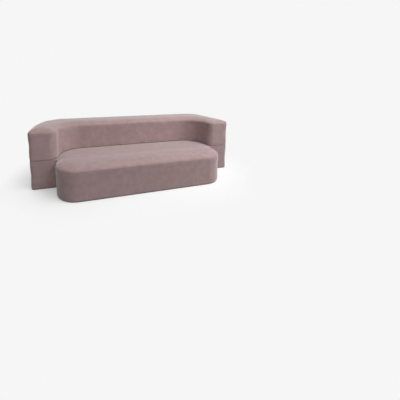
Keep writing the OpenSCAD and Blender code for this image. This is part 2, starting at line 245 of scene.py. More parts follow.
def square_up(piece):
    """Joins the lattices' triangles to squares."""
    bm = bmesh.new()
    bm.from_mesh(piece.data)
    flat = [f for f in bm.faces if len(f.verts) == 3]
    bmesh.ops.join_triangles(bm, faces=flat, angle_face_threshold=JOIN_BEND, angle_shape_threshold=JOIN_BEND,
                             cmp_seam=False, cmp_sharp=False, cmp_uvs=False, cmp_vcols=False,
                             cmp_materials=False)
    bm.to_mesh(piece.data)
    bm.free()
    piece.data.shade_smooth()


# Steps, turns and lengths of the blocks' profiles
EDGE_STEPS = 6
FLOOR_STEPS = 3
EDGE_TURN = 74
UNDER_INSET = 10 * MM
PANEL_LAP = 2 * MM
PANEL_EASE = 0.1 * MM
SEAM_W = 3.2 * MM
SEAM_DEPTH = 1.6 * MM
SEAM_SHOULDER = 0.3
RECESS_DEPTH = 13 * MM
RECESS_EASE = 0.6 * MM
# Brinks of the zip's channel as (way out from its mouth, inset)
LIP_ROLL = 2.5 * MM
ROLL_SHARE = 0.8
BRINK_ROLL = 0.7 * MM
BRINK_DEPTH = 2 * MM
BRINK = [(LIP_ROLL, ROLL_SHARE * ZIP_DRAW), (BRINK_ROLL, ZIP_DRAW), (0, ZIP_DRAW + BRINK_DEPTH),
         (-RECESS_EASE, RECESS_DEPTH)]
# Crowns of the stuffed tops, and how far from their rims they level out
SEAT_CROWN = 11 * MM
SEAT_REACH = 85 * MM
SEAT_CLEAR = 3 * MM
# How far the tongue is stuffed up and sideways beyond the hollow, and over what length that builds up
SEAT_LIFT = 8 * MM
SEAT_SWELL = 4 * MM
SWELL_RUN = 120 * MM
BACK_CROWN = 15 * MM
BACK_REACH = 92 * MM
# How far the arms' outer sides swell, and over what length; the left one is stuffed fuller
LEFT_LEAN = 20 * MM
LEFT_LIFT = 12 * MM
RIGHT_LEAN = 4 * MM
LEAN_RUN = 560 * MM
# How far the simulated cloth may move, by place
TOP_GIVE = 6 * MM
REAR_GIVE = 4 * MM
FRONT_GIVE = 1 * MM
LEAST_GIVE = 0.05 * MM
EDGE_GIVE_SHARE = 0.5
# The simulation's frames and quality, the cloth's mass and pressure, and the share that it is cut too large
CLOTH_FRAMES = 20
CLOTH_QUALITY = 4
CLOTH_MASS = 0.3
CLOTH_PRESSURE = 4.0
SPARE_CLOTH = 0.01
# Unevenness of the covers
RIPPLE = 1.6 * MM
RIPPLE_W = 170 * MM
PUCKER = 0.5 * MM
PUCKER_W = 32 * MM
PUCKER_SHIFT = Vector((7, 3, 5))


def spread(low, high, spacing):
    """Heights from low to high, both ends left out."""
    steps = max(2, round((high - low) / spacing))
    return [low + (high - low) * s / steps for s in range(1, steps)]


def bow(z, low, high, draw):
    """How far a band draws in at z, between the seams at low and high."""
    t = (z - low) / (high - low)
    return draw * 4 * t * (1 - t)


def mixed_ring(path, front_inset, rear_inset, z):
    """One level with two insets, the second where the zip runs."""
    inset = front_inset + (rear_inset - front_inset) * path[:, 5]
    return np.column_stack([path[:, :2] - path[:, 2:4] * inset[:, None], np.full(len(path), z)])


def band_rings(path, low, high, zip_z):
    """Side of a block between its seams at low and high, with the zip's channel at zip_z, and its gives."""
    foot, head = zip_z - ZIP_H / 2, zip_z + ZIP_H / 2
    rows = []
    for z in spread(low, foot - LIP_ROLL, CELL):
        rows.append((z, ZIP_DRAW * ((z - low) / (foot - low)) ** 2))
    rows += [(foot - out, inset) for out, inset in BRINK] + [(zip_z, RECESS_DEPTH)]
    rows += [(head + out, inset) for out, inset in reversed(BRINK)]
    for z in spread(head + LIP_ROLL, high, CELL):
        rows.append((z, ZIP_DRAW * ((high - z) / (high - head)) ** 2))
    rings = [mixed_ring(path, bow(z, low, high, SIDE_DRAW), rear, z) for z, rear in rows]
    gives = []
    for z, _ in rows:
        front = bow(z, low, high, FRONT_GIVE)
        rear = max(0, bow(z, low, foot, REAR_GIVE), bow(z, head, high, REAR_GIVE))
        gives.append(front + (rear - front) * path[:, 5])
    return rings, gives


def seam_rings(path, z):
    """A sewn seam: the cover dips in between two soft shoulders."""
    return [ring(path, SEAM_DEPTH * dip, z + SEAM_W * up)
            for dip, up in ((0, -1), (SEAM_SHOULDER, -0.5), (1, 0), (SEAM_SHOULDER, 0.5), (0, 1))]


def edge_rings(path, z):
    """A block's rounded top edge, from the side inwards; z is the height of the flat."""
    return [ring(path, 0, z, TOP_EDGE_R * (1 - math.cos(a)), TOP_EDGE_R * (1 - math.sin(a)))
            for a in (math.radians(EDGE_TURN * s / EDGE_STEPS) for s in range(EDGE_STEPS + 1))]


def edge_gives(path):
    """The free top edges give more and more inwards, the folding ones not at all."""
    free = (path[:, 4] - FOLD_SHARE) / (1 - FOLD_SHARE)
    return [TOP_GIVE * EDGE_GIVE_SHARE * free * s / EDGE_STEPS for s in range(EDGE_STEPS + 1)]


def crown(distance, reach):
    """Share of a stuffed top's height, which rises from its rim and levels out."""
    return 1 - (1 - np.clip(distance / reach, 0, 1)) ** 2


def still(path, rings):
    """Gives of rings that are held."""
    return [np.zeros(len(path)) for _ in rings]


def flat_at(z):
    """The form of a flat, held cap."""
    return lambda xy: (np.full(len(xy), z), np.zeros(len(xy)))


def floor_rings(path):
    """The base's lower edge, from over the floor panel out to the side."""
    panel_turn = math.asin(1 - PANEL_T / FLOOR_EDGE_R)
    rings = [ring(path, FLOOR_EDGE_R * (1 - math.cos(panel_turn)) + PANEL_LAP, PANEL_T + PANEL_EASE)]
    for s in range(FLOOR_STEPS + 1):
        a = panel_turn * (1 - s / FLOOR_STEPS)
        rings.append(ring(path, FLOOR_EDGE_R * (1 - math.cos(a)), FLOOR_EDGE_R * (1 - math.sin(a))))
    return rings


def seat_line(rim):
    """What the seat swells inside: the tongue's rim, and the line where the back block's hollow meets it."""
    wall = trace(HOLLOW, CELL)
    wall = wall[wall[:, 1] > FRONT_Y + ARM_CORNER_R / 2]
    return np.vstack([wall[:, :2] + wall[:, 2:4] * SEAT_CLEAR, rim[rim[:, 1] < FRONT_Y - NOTCH_R][::-1]])


def make_base_cover():
    path = trace(BASE_PLAN, CELL)
    rings = floor_rings(path)
    gives = still(path, rings)
    seam_z = BLOCK_H - TOP_COVER_T
    band, band_gives = band_rings(path, FLOOR_EDGE_R, seam_z - SEAM_W, BASE_ZIP_Z)
    seam = seam_rings(path, seam_z)[:-1]
    rings += band + seam + edge_rings(path, BLOCK_H)
    gives += band_gives + still(path, seam) + edge_gives(path)
    seat = seat_line(rings[-1][:, :2])

    def swollen(xy):
        rise = np.where(inside(xy, seat), crown(distance_to(xy, seat), SEAT_REACH), 0)
        return BLOCK_H + SEAT_CROWN * rise, TOP_GIVE * rise

    cover, give = block("base_cover", path, rings, gives, flat_at(PANEL_T + PANEL_EASE), swollen)
    return swell_tongue(cover), give


def make_back_cover():
    path = trace(BACK_PLAN, CELL)
    low_seam, high_seam = BACK_Z + UNDER_COVER_T, BACK_TOP - TOP_COVER_T
    rings = [ring(path, UNDER_INSET, BACK_Z, UNDER_EDGE_R)]
    rings += [ring(path, 0, BACK_Z, UNDER_EDGE_R * (1 - math.sin(a)), -UNDER_EDGE_H * (1 - math.cos(a)))
              for a in (math.radians(90 * s / EDGE_STEPS) for s in range(EDGE_STEPS + 1))]
    rings += seam_rings(path, low_seam)[1:]
    gives = still(path, rings)
    band, band_gives = band_rings(path, low_seam + SEAM_W, high_seam - SEAM_W, BACK_ZIP_Z)
    seam = seam_rings(path, high_seam)[:-1]
    rings += band + seam + edge_rings(path, BACK_TOP)
    gives += band_gives + still(path, seam) + edge_gives(path)
    rim = rings[-1][:, :2]

    def swollen(xy):
        rise = crown(distance_to(xy, rim), BACK_REACH)
        return BACK_TOP + BACK_CROWN * rise, TOP_GIVE * rise

    cover, give = block("back_cover", path, rings, gives, flat_at(BACK_Z), swollen)
    return lean(cover), give


def read_points(piece):
    """The mesh's points, one in each row."""
    flat = np.empty(3 * len(piece.data.vertices))
    piece.data.vertices.foreach_get("co", flat)
    return flat.reshape(-1, 3)


def write_points(piece, points):
    piece.data.vertices.foreach_set("co", points.reshape(-1))
    piece.data.update()


def swell_tongue(piece):
    """Stuffs the seat's tongue fuller in front of the arms, upwards and a little sideways."""
    points = read_points(piece)
    x, y, z = points.T
    along = np.clip((FRONT_Y - 2 * NOTCH_R - y) / SWELL_RUN, 0, 1)
    share = along ** 2 * (3 - 2 * along)
    high = np.clip(z / BLOCK_H, 0, 1)
    beside = np.clip(2 * np.abs(x) / HALF_W - 1, 0, 1)
    points[:, 0] += np.sign(x) * SEAT_SWELL * share * beside * np.sin(math.pi * high)
    points[:, 2] += SEAT_LIFT * share * high
    write_points(piece, points)
    return piece


def lean(piece):
    """Swells the arms' outer sides towards the top, between their fronts and the rear corners."""
    points = read_points(piece)
    x, y, z = points.T
    along = np.sin(math.pi * np.clip((y - FRONT_Y) / LEAN_RUN, 0, 1))
    across = np.clip((np.abs(x) - HALF_W + ARM_W) / ARM_W, 0, 1)
    share = along * across ** 2 * (3 - 2 * across) * np.clip((z - BACK_Z) / BLOCK_H, 0, 1)
    points[:, 0] += np.where(x < 0, -LEFT_LEAN, RIGHT_LEAN) * share
    points[:, 2] += np.where(x < 0, LEFT_LIFT, 0) * share
    write_points(piece, points)
    return piece


def inflate(piece, give):
    """Blows the cover up with a cloth simulation, sewn lines held, and keeps each point within its give."""
    sewn = piece.vertex_groups.new(name="sewn")
    sewn.add([int(i) for i in np.flatnonzero(give < LEAST_GIVE)], 1.0, "REPLACE")
    cloth = piece.modifiers.new("stuffing", "CLOTH")
    cloth.settings.quality = CLOTH_QUALITY
    cloth.settings.mass = CLOTH_MASS
    cloth.settings.use_pressure = True
    cloth.settings.uniform_pressure_force = CLOTH_PRESSURE
    cloth.settings.effector_weights.gravity = 0
    cloth.settings.vertex_group_mass = "sewn"
    cloth.settings.shrink_min = -SPARE_CLOTH
    cloth.point_cache.frame_start, cloth.point_cache.frame_end = 1, CLOTH_FRAMES
    scene = bpy.context.scene
    for frame_number in range(1, CLOTH_FRAMES + 1):
        scene.frame_set(frame_number)
    blown = read_points(piece.evaluated_get(bpy.context.evaluated_depsgraph_get()))
    rest = read_points(piece)
    step = blown - rest
    piece.modifiers.clear()
    piece.vertex_groups.clear()
    scene.frame_set(1)
    length = np.linalg.norm(step, axis=1)
    kept = give * np.tanh(length / np.maximum(give, LEAST_GIVE))
    write_points(piece, rest + step * (kept / np.maximum(length, TINY))[:, None])


def ripple(piece, give):
    """Slow unevenness of stuffed fabric, and small puckers, only where the cover may move."""
    points = read_points(piece)
    normals = np.empty(3 * len(points))
    piece.data.vertices.foreach_get("normal", normals)
    slow = np.array([noise.noise(Vector(p) / RIPPLE_W) for p in points])
    quick = np.array([noise.noise(Vector(p) / PUCKER_W + PUCKER_SHIFT) for p in points])
    share = np.clip(give / REAR_GIVE, 0, 1)
    write_points(piece, points + normals.reshape(-1, 3) * (share * (RIPPLE * slow + PUCKER * quick))[:, None])


def strip(name, path, profile):
    """A band with a closed profile of (inset, z) points along an open path, with a UV map in metres."""
    k = len(profile)
    points = []
    for x, y, nx, ny, *_ in path:
        points += [(x - nx * inset, y - ny * inset, z) for inset, z in profile]
    faces = [[i * k + j, i * k + (j + 1) % k, (i + 1) * k + (j + 1) % k, (i + 1) * k + j]
             for i in range(len(path) - 1) for j in range(k)]
    faces += [list(range(k))[::-1], [(len(path) - 1) * k + j for j in range(k)]]
    piece = new_piece(name, points, faces)
    along = np.concatenate([[0], np.cumsum(np.linalg.norm(np.diff(path[:, :2], axis=0), axis=1))])
    weave = piece.data.uv_layers.new(name=WEAVE)
    for loop in piece.data.loops:
        weave.data[loop.index].uv = along[loop.vertex_index // k], profile[loop.vertex_index % k][1]
    outward(piece)
    return piece


def outward(piece):
    """Merges doubles and turns every face outwards."""
    bm = bmesh.new()
    bm.from_mesh(piece.data)
    bmesh.ops.remove_doubles(bm, verts=bm.verts, dist=MERGE)
    bmesh.ops.recalc_face_normals(bm, faces=bm.faces)
    bm.to_mesh(piece.data)
    bm.free()


def smooth_up(piece):
    """The piece with a live subdivision surface."""
    surface = piece.modifiers.new("subdivision", "SUBSURF")
    surface.levels = surface.render_levels = 1
    return piece


WEAVE = "weave"
# The zips' lips, tapes and coils
LIP_DEPTH = 1.5 * MM
# The lip's section in millimetres, as (inset, way from its root): down its face, round its tip, up its rear
LIP_SECTION = [(1.6, 0.0), (0.4, 1.6), (0.0, 3.4), (0.1, 5.7), (0.9, 6.8), (2.0, 7.1), (3.2, 6.6), (3.8, 5.1),
               (4.4, 2.4), (5.0, 0.0)]
TAPE_EASE = 0.5 * MM
TAPE_T = 1.2 * MM
COIL_T = 2 * MM
COIL_H = 6 * MM


def rear_path():
    """The part of the outline where the zip runs, between the upright edges at the arm fronts."""
    path = trace(BASE_PLAN, CELL)
    return path[path[:, 5] > 0]


def make_lip(name, zip_z, hangs):
    """Folded lip: a strip of the cover that hangs from the upper band or stands on the lower one."""
    side = 1 if hangs else -1
    root = zip_z + side * ZIP_H / 2
    profile = [(LIP_DEPTH + inset * MM, root - side * way * MM) for inset, way in LIP_SECTION]
    return smooth_up(strip(name, rear_path(), profile))


def make_tape(name, z):
    near, far, half = ZIP_DEPTH + COIL_T, ZIP_DEPTH + COIL_T + TAPE_T, ZIP_H / 2 - TAPE_EASE
    profile = [(near, z - half), (near, z - half / 2), (near, z), (near, z + half / 2), (near, z + half),
               (far, z + half), (far, z), (far, z - half)]
    return strip(name, rear_path(), profile)


# Coil loops and stitches; sewing thread is about 0.35 mm thick, and is drawn thicker so that it shows
TOOTH_PITCH = 2.2 * MM
TOOTH_W = 0.95 * MM
TOOTH_L = 4.2 * MM
TOOTH_SIDES = 8
STITCH_PITCH = 3.8 * MM
STITCH_L = 2.9 * MM
STITCH_DROP = 4.6 * MM
THREAD_SINK = 0.1 * MM
THREAD_W = 0.55 * MM
THREAD_SIDES = 6
THREAD_RINGS = 4
# How much smaller a loop or stitch may be by chance
UNEVEN = 0.06
ROW_SEED = 3
ROW_INPUTS = (("Lines", "Geometry"), ("Pitch", "Float"), ("Size", "Vector"), ("Unevenness", "Float"),
              ("Seed", "Int"), ("Finish", "Material"))


def row_tree(name, upright):
    """Geometry Nodes that set small shapes along a piece's edges: upright bars, or stitches laid flat."""
    tree = bpy.data.node_groups.new(name, "GeometryNodeTree")
    for socket, kind in ROW_INPUTS:
        tree.interface.new_socket(name=socket, in_out="INPUT", socket_type="NodeSocket" + kind)
    tree.interface.new_socket(name="Rows", in_out="OUTPUT", socket_type="NodeSocketGeometry")
    given = node(tree, "NodeGroupInput").outputs
    curve = node(tree, "GeometryNodeMeshToCurve", {"Mesh": given["Lines"]})
    places = node(tree, "GeometryNodeCurveToPoints", {"Curve": curve.outputs["Curve"],
                                                      "Length": given["Pitch"]}, mode="LENGTH").outputs
    if upright:
        shape = node(tree, "GeometryNodeMeshCylinder", {"Vertices": TOOTH_SIDES, "Radius": 0.5, "Depth": 1.0})
        turn = node(tree, "FunctionNodeAlignRotationToVector", {"Vector": places["Tangent"]},
                    axis="X", pivot_axis="Z")
    else:
        shape = node(tree, "GeometryNodeMeshUVSphere", {"Segments": THREAD_SIDES, "Rings": THREAD_RINGS,
                                                        "Radius": 0.5})
        turn = node(tree, "FunctionNodeAlignRotationToVector", {"Vector": places["Tangent"]}, axis="Z")
    set_out = node(tree, "GeometryNodeInstanceOnPoints", {
        "Points": places["Points"], "Instance": shape.outputs["Mesh"],
        "Rotation": turn.outputs["Rotation"], "Scale": uneven_size(tree, given)})
    real = node(tree, "GeometryNodeRealizeInstances", {"Geometry": set_out.outputs["Instances"]})
    soft = node(tree, "GeometryNodeSetShadeSmooth", {"Geometry": real.outputs["Geometry"],
                                                     "Shade Smooth": not upright})
    finish = node(tree, "GeometryNodeSetMaterial", {"Geometry": soft.outputs["Geometry"],
                                                    "Material": given["Finish"]})
    node(tree, "NodeGroupOutput", {"Rows": finish.outputs["Geometry"]})
    return tree


def uneven_size(tree, given):
    """The size that the tree is given, a little smaller by chance for each shape."""
    least = node(tree, "ShaderNodeMath", {0: 1.0, 1: given["Unevenness"]}, operation="SUBTRACT")
    share = node(tree, "FunctionNodeRandomValue", {2: least.outputs[0], 3: 1.0, "Seed": given["Seed"]},
                 data_type="FLOAT")
    size = node(tree, "ShaderNodeVectorMath", {0: given["Size"], "Scale": share.outputs[1]},
                operation="SCALE")
    return size.outputs["Vector"]


def make_rows(name, lines, tree, pitch, size, material):
    """The tree's shapes along open lines of points, as one plain mesh."""
    points = [tuple(map(float, p)) for line in lines for p in line]
    edges, first = [], 0
    for line in lines:
        edges += [(first + i, first + i + 1) for i in range(len(line) - 1)]
        first += len(line)
    mesh = bpy.data.meshes.new(name)
    mesh.from_pydata(points, edges, [])
    piece = bpy.data.objects.new(name, mesh)
    bpy.context.scene.collection.objects.link(piece)
    rows = piece.modifiers.new("rows", "NODES")
    rows.node_group = tree
    given = {"Pitch": pitch, "Size": size, "Unevenness": UNEVEN, "Seed": ROW_SEED, "Finish": material}
    for socket in tree.interface.items_tree:
        if socket.item_type == "SOCKET" and socket.name in given:
            rows[socket.identifier] = given[socket.name]
    return apply(piece)


def rear_line(z, inset, skip=0.0):
    """A line round the zip's run at a height and inset, with a length left out at its start."""
    path = rear_path()
    line = np.column_stack([path[:, :2] - path[:, 2:4] * inset, np.full(len(path), z)])
    way = (line[1] - line[0]) / np.linalg.norm(line[1] - line[0])
    line[0] += way * skip
    return line


def make_coil(name, z, tree):
    """Two rows of coil loops that hook into each other in the middle, half a pitch apart."""
    depth, off = ZIP_DEPTH + COIL_T / 2, (COIL_H - TOOTH_L) / 2
    lines = [rear_line(z + off, depth, TOOTH_W), rear_line(z - off, depth, TOOTH_W + TOOTH_PITCH / 2)]
    return make_rows(name, lines, tree, TOOTH_PITCH, (TOOTH_W, COIL_T, TOOTH_L), COIL)


def hinge_lines(side, z):
    """Where a hinge cloth's leaf is sewn down: along its two sides and its far edge."""
    half = (ARM_W - 2 * HINGE_SIDE) / 2 - HINGE_SEWN
    centre = side * (HALF_W - ARM_W / 2)
    near, far = FRONT_Y + HINGE_SEWN, FRONT_Y + HINGE_D - HINGE_SEWN
    left, right = centre - half, centre + half
    corners = [(left, near, z), (left, far, z), (right, far, z), (right, near, z)]
    return [corners[i:i + 2] for i in range(3)]


def make_stitches(body, zip_z, hangs, tree):
    """Topstitches along the zip's lip, and the ones that hold each hinge cloth on this body."""
    side = 1 if hangs else -1
    lip = rear_line(zip_z + side * (ZIP_H / 2 - STITCH_DROP), LIP_DEPTH + THREAD_SINK, STITCH_L)
    leaf_z = HINGE_LOW + HINGE_STITCH if body == "base" else BACK_Z - HINGE_STITCH
    lines = [lip] + hinge_lines(-1, leaf_z) + hinge_lines(1, leaf_z)
    return make_rows(body + "_stitches", lines, tree, STITCH_PITCH, (THREAD_W, THREAD_W, STITCH_L), THREAD)


# The two leaves of a hinge cloth lie at the bottom and the top of the fold's gap, in a room of HINGE_T each
HINGE_T = 1 * MM
HINGE_CLOTH_T = 0.8 * MM
HINGE_STITCH = 0.9 * MM
HINGE_D = 52 * MM
HINGE_SIDE = 42 * MM
HINGE_EASE = 0.3 * MM
HINGE_LOW = BLOCK_H + HINGE_EASE
HINGE_SEWN = 5 * MM
HINGE_COLUMNS = 24
HINGE_ROWS = 8
HINGE_STEP = 30


def make_hinge(name, side):
    """One strip of cloth, folded round the gap: sewn to the base below and to the back block above."""
    low, high = HINGE_LOW + HINGE_T / 2, BACK_Z - HINGE_T / 2
    turn_r = (high - low) / 2
    rear = FRONT_Y + HINGE_D
    rows = [(rear + (FRONT_Y - rear) * s / HINGE_ROWS, low) for s in range(HINGE_ROWS + 1)]
    rows += [(FRONT_Y - turn_r * math.sin(math.radians(a)), low + turn_r * (1 - math.cos(math.radians(a))))
             for a in range(HINGE_STEP, 180, HINGE_STEP)]
    rows += [(FRONT_Y + (rear - FRONT_Y) * s / HINGE_ROWS, high) for s in range(HINGE_ROWS + 1)]
    half = (ARM_W - 2 * HINGE_SIDE) / 2
    centre = side * (HALF_W - ARM_W / 2)
    n = HINGE_COLUMNS + 1
    points = [(centre + half * (2 * c / HINGE_COLUMNS - 1), y, z) for y, z in rows for c in range(n)]
    faces = [[r * n + c, r * n + c + 1, (r + 1) * n + c + 1, (r + 1) * n + c]
             for r in range(len(rows) - 1) for c in range(HINGE_COLUMNS)]
    piece = new_piece(name, points, faces)
    thick = piece.modifiers.new("thickness", "SOLIDIFY")
    thick.thickness = HINGE_CLOTH_T
    thick.offset = 0
    return apply(piece)


def apply(piece):
    """The piece with its modifiers made part of its mesh."""
    bpy.context.view_layer.update()
    evaluated = piece.evaluated_get(bpy.context.evaluated_depsgraph_get())
    mesh = bpy.data.meshes.new_from_object(evaluated)
    piece.modifiers.clear()
    piece.data = mesh
    return piece


# Rounding of the zips' cast parts, and the bends, in degrees, under which faces are one and edges are smooth
CAST_EDGE = 0.25 * MM
CAST_STEPS = 2
CAST_FLAT = 5
CAST_SHARP = 40


def eased(name, cad):
    """A copy of a CAD part with its flat faces whole and its edges rounded as a casting's are."""
    mesh = cad.data.copy()
    mesh.name = name
    piece = bpy.data.objects.new(name, mesh)
    bpy.context.scene.collection.objects.link(piece)
    outward(piece)
    bm = bmesh.new()
    bm.from_mesh(mesh)
    bmesh.ops.dissolve_limit(bm, angle_limit=math.radians(CAST_FLAT), verts=bm.verts, edges=bm.edges)
    bm.to_mesh(mesh)
    bm.free()
    round_off = piece.modifiers.new("cast_edges", "BEVEL")
    round_off.width = CAST_EDGE
    round_off.segments = CAST_STEPS
    round_off.limit_method = "ANGLE"
    round_off.use_clamp_overlap = True
    piece = apply(piece)
    piece.data.shade_smooth()
    piece.data.set_sharp_from_angle(angle=math.radians(CAST_SHARP))
    return piece


# Widths of the velour's patterns
CLOUD = 55 * MM
TUFT = 3 * MM
PILE = 0.9 * MM
# Threads, dots and fibres of the trims; a thread of 0.4 mm is drawn 0.8 mm wide so that the weave shows
THREAD_PITCH = 0.8 * MM
HERRINGBONE_W = 3 * MM
PLY_W = 0.25 * MM
DOT_PITCH = 8 * MM
DOT_W = 2.5 * MM
FIBRE_W = 1.5 * MM
# Streaks of drawn nylon and peel of sprayed paint, with their heights, and the cells of the two foams
NYLON_GRAIN, NYLON_HIGH = 1 * MM, 0.1 * MM
PAINT_GRAIN, PAINT_HIGH = 2 * MM, 0.05 * MM
FIRM_CELL = 2.4 * MM
SOFT_CELL = 1.8 * MM


def linear(code):
    """An sRGB hex colour as linear values."""
    parts = [int(code[i:i + 2], 16) / 255 for i in (1, 3, 5)]
    return tuple(c / 12.92 if c <= 0.04045 else ((c + 0.055) / 1.055) ** 2.4 for c in parts) + (1.0,)


def node(tree, kind, inputs=(), stops=(), **settings):
    """Adds a node. Inputs are values, or sockets to link; stops are a ramp's places and hex colours."""
    made = tree.nodes.new(kind)
    for name, value in settings.items():
        setattr(made, name, value)
    for name, value in dict(inputs).items():
        if isinstance(value, bpy.types.NodeSocket):
            tree.links.new(value, made.inputs[name])
        else:
            made.inputs[name].default_value = value
    for i, (at, code) in enumerate(stops):
        points = made.color_ramp.elements
        point = points[i] if i < len(points) else points.new(at)
        point.position, point.color = at, linear(code)
    return made


def new_material(name):
    """An empty material, its tree, and the place on the piece in object coordinates."""
    material = bpy.data.materials.new(name)
    material.use_nodes = True
    tree = material.node_tree
    tree.nodes.clear()
    return material, tree, node(tree, "ShaderNodeTexCoord").outputs["Object"]


def shaded(material, inputs):
    """The material with a shader that has these inputs."""
    shader = node(material.node_tree, "ShaderNodeBsdfPrincipled", inputs)
    node(material.node_tree, "ShaderNodeOutputMaterial", {"Surface": shader.outputs["BSDF"]})
    return material


def velour():
    """Brushed polyester velour: a short matt pile, cloudy where it lies another way, lighter at a slant."""
    material, tree, place = new_material("velour_brushed_polyester")
    clouds = node(tree, "ShaderNodeTexNoise", {"Vector": place, "Scale": 1 / CLOUD, "Detail": 3.0,
                                               "Roughness": 0.55, "Distortion": 0.4})
    # The pile's tufts are 1.5 mm wide, drawn 3 mm wide so that they show
    tufts = node(tree, "ShaderNodeTexNoise", {"Vector": place, "Scale": 1 / TUFT, "Detail": 2.0,
                                              "Roughness": 0.7})
    # Single fibres are a tenth of a millimetre, drawn 0.9 mm wide for close views
    fibres = node(tree, "ShaderNodeTexNoise", {"Vector": place, "Scale": 1 / PILE, "Detail": 2.0,
                                               "Roughness": 0.8})
    mix = node(tree, "ShaderNodeMix", {"Factor": 0.35, 2: clouds.outputs["Fac"], 3: tufts.outputs["Fac"]})
    colour = node(tree, "ShaderNodeValToRGB", {"Fac": mix.outputs[0]},
                  [(0.36, "#988080"), (0.5, "#9e8686"), (0.64, "#a58d8d")])
    rough = node(tree, "ShaderNodeMapRange", {"Value": tufts.outputs["Fac"], "To Min": 0.86, "To Max": 1.0})
    coarse = node(tree, "ShaderNodeBump", {"Height": clouds.outputs["Fac"], "Strength": 0.12,
                                           "Distance": 1.5 * MM})
    fine = node(tree, "ShaderNodeBump", {"Height": tufts.outputs["Fac"], "Strength": 0.4,
                                         "Distance": 0.6 * MM, "Normal": coarse.outputs["Normal"]})
    pile = node(tree, "ShaderNodeBump", {"Height": fibres.outputs["Fac"], "Strength": 0.35,
                                         "Distance": 0.25 * MM, "Normal": fine.outputs["Normal"]})
    return shaded(material, {
        "Base Color": colour.outputs["Color"], "Roughness": rough.outputs["Result"],
        "Normal": pile.outputs["Normal"], "Specular IOR Level": 0.2, "Sheen Weight": 0.65,
        "Sheen Roughness": 0.4, "Sheen Tint": linear("#ffffff")})


def grained(name, low, high, grain_w, grain_high, roughness):
    """A smooth finish of two colours in a fine grain; roughness is its least and most."""
    material, tree, place = new_material(name)
    grain = node(tree, "ShaderNodeTexNoise", {"Vector": place, "Scale": 1 / grain_w, "Detail": 4.0})
    colour = node(tree, "ShaderNodeValToRGB", {"Fac": grain.outputs["Fac"]}, [(0.35, low), (0.65, high)])
    rough = node(tree, "ShaderNodeMapRange", {"Value": grain.outputs["Fac"], "To Min": roughness[0],
                                              "To Max": roughness[1]})
    raised = node(tree, "ShaderNodeBump", {"Height": grain.outputs["Fac"], "Strength": 0.4,
                                           "Distance": grain_high})
    return shaded(material, {
        "Base Color": colour.outputs["Color"], "Roughness": rough.outputs["Result"],
        "Normal": raised.outputs["Normal"]})


def woven_tape():
    """Herringbone woven polyester tape: matt, with slanting ribs that turn back every few threads, and
    painted shade between the ribs.
    """
    material, tree, _ = new_material("zip_tape_woven_polyester")
    weave = node(tree, "ShaderNodeUVMap", uv_map=WEAVE)
    at = node(tree, "ShaderNodeSeparateXYZ", {"Vector": weave.outputs["UV"]})
    zigzag = node(tree, "ShaderNodeMath", {0: at.outputs["Y"], 1: HERRINGBONE_W}, operation="PINGPONG")
    slant = node(tree, "ShaderNodeMath", {0: at.outputs["X"], 1: zigzag.outputs[0]}, operation="ADD")
    phase = node(tree, "ShaderNodeMath", {0: slant.outputs[0], 1: 2 * math.pi / THREAD_PITCH},
                 operation="MULTIPLY")
    wave = node(tree, "ShaderNodeMath", {0: phase.outputs[0]}, operation="SINE")
    rib = node(tree, "ShaderNodeMapRange", {"Value": wave.outputs[0], "From Min": -1.0, "From Max": 1.0})
    # The darker colour is painted shade in the troughs between the ribs
    colour = node(tree, "ShaderNodeValToRGB", {"Fac": rib.outputs["Result"]},
                  [(0.15, "#5f4f54"), (0.75, "#7a686e")])
    rough = node(tree, "ShaderNodeMapRange", {"Value": rib.outputs["Result"], "To Min": 0.95, "To Max": 0.8})
    raised = node(tree, "ShaderNodeBump", {"Height": rib.outputs["Result"], "Strength": 0.6,
                                           "Distance": 0.25 * MM})
    return shaded(material, {
        "Base Color": colour.outputs["Color"], "Roughness": rough.outputs["Result"],
        "Normal": raised.outputs["Normal"], "Sheen Weight": 0.2})


def spun_thread():
    """Spun polyester thread: two plies twisted round each other, with a soft gloss on their crowns and
    painted shade in the grooves between them.
    """
    material, tree, place = new_material("sewing_thread_spun_polyester")
    twist = node(tree, "ShaderNodeTexWave", {"Vector": place, "Scale": 1 / (2 * math.pi * PLY_W),
                                             "Distortion": 1.0}, bands_direction="DIAGONAL")
    # The darker colour is painted shade in the grooves between the plies
    colour = node(tree, "ShaderNodeValToRGB", {"Fac": twist.outputs["Fac"]},
                  [(0.2, "#8b7676"), (0.8, "#a69190")])
    rough = node(tree, "ShaderNodeMapRange", {"Value": twist.outputs["Fac"], "To Min": 0.8, "To Max": 0.55})
    raised = node(tree, "ShaderNodeBump", {"Height": twist.outputs["Fac"], "Strength": 0.5,
                                           "Distance": 0.1 * MM})
    return shaded(material, {"Base Color": colour.outputs["Color"], "Roughness": rough.outputs["Result"],
                             "Normal": raised.outputs["Normal"]})


